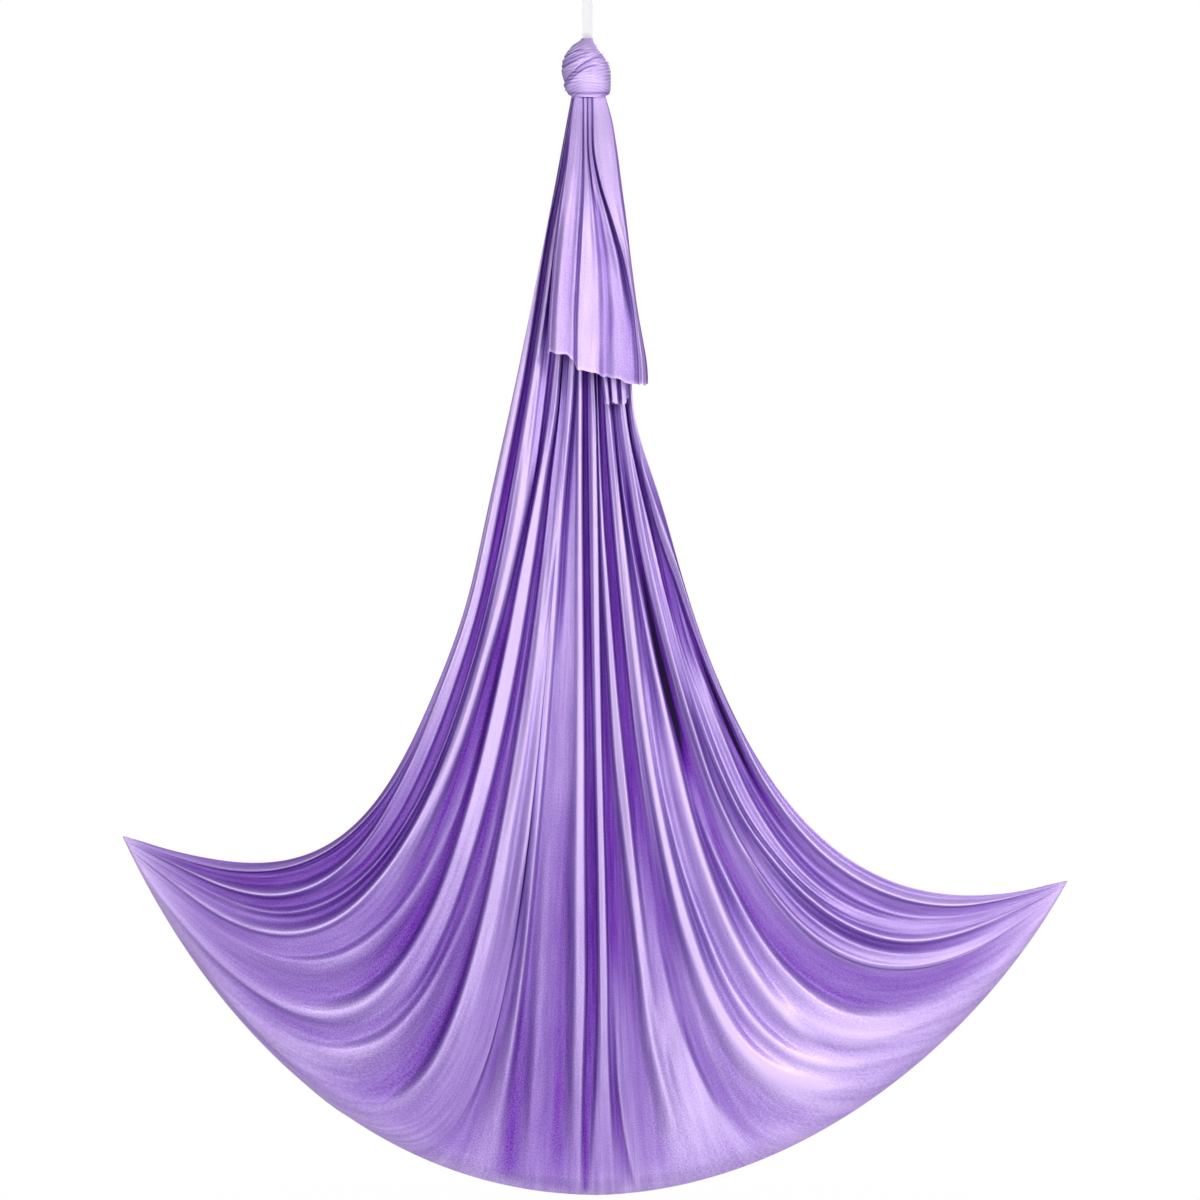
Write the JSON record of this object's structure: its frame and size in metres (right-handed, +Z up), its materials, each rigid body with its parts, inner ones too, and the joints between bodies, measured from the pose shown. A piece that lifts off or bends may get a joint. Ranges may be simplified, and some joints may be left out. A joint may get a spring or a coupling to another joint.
{
  "type": "aerial yoga hammock",
  "caption": "Fan of pleated cloth folded at a rounded seat, gathered into a knot on a hidden ring, hung by a flat strap from a screw-sleeve carabiner.",
  "frame": {"origin": "inner top of the carabiner's upper bow, where the hammock hangs", "axes": "+Z up; X along the cloth's width, with the gate on the +X side; the tails hang on the -Y side"},
  "size_m": [1.8933, 0.1638, 2.5522],
  "materials": {
    "carabiner_frame": "polished",
    "carabiner_gate": "polished",
    "gate_pin": "turned",
    "gate_plunger": "turned",
    "gate_spring": "drawn wire",
    "locking_sleeve": "satin, grooved",
    "strap_webbing": "woven, matt",
    "d_ring": "polished",
    "knot_lip": "satin knit",
    "knot_lower_wrap": "satin knit",
    "knot_diagonal_wrap": "satin knit",
    "knot_crown": "satin knit",
    "front_panel": "satin knit",
    "back_panel": "satin knit",
    "rear_tail": "satin knit",
    "front_tail": "satin knit"
  },
  "bodies": {
    "carabiner": {"carabiner_frame": "carabiner_frame"},
    "gate": {"carabiner_gate": "carabiner_gate", "gate_pin": "gate_pin", "gate_plunger": "gate_plunger", "gate_spring": "gate_spring"},
    "sleeve": {"locking_sleeve": "locking_sleeve"},
    "strap": {"strap_webbing": "strap_webbing"},
    "hammock": {"d_ring": "d_ring", "knot_lip": "knot_lip", "knot_lower_wrap": "knot_lower_wrap", "knot_diagonal_wrap": "knot_diagonal_wrap", "knot_crown": "knot_crown", "front_panel": "front_panel", "back_panel": "back_panel", "rear_tail": "rear_tail", "front_tail": "front_tail"}
  },
  "joints": [
    {"name": "gate_hinge", "type": "hinge", "parent": "carabiner", "child": "gate", "pos_m": [0.0235, 0, -0.0621], "axis": [0, -1, 0], "range_deg": [0, 25], "stiffness_Nm_per_rad": 0.5, "springref_deg": -17.19},
    {"name": "sleeve_slide", "type": "slide", "parent": "gate", "child": "sleeve", "axis": [0, 0, 1], "range_m": [0, 0.0105]},
    {"name": "strap_swing", "type": "hinge", "parent": "carabiner", "child": "strap", "pos_m": [0, 0, -0.0915], "axis": [1, 0, 0], "range_deg": [-45, 45]},
    {"name": "hammock_swing", "type": "hinge", "parent": "strap", "child": "hammock", "pos_m": [0, 0, -0.255], "axis": [1, 0, 0], "range_deg": [-15, 15]}
  ]
}
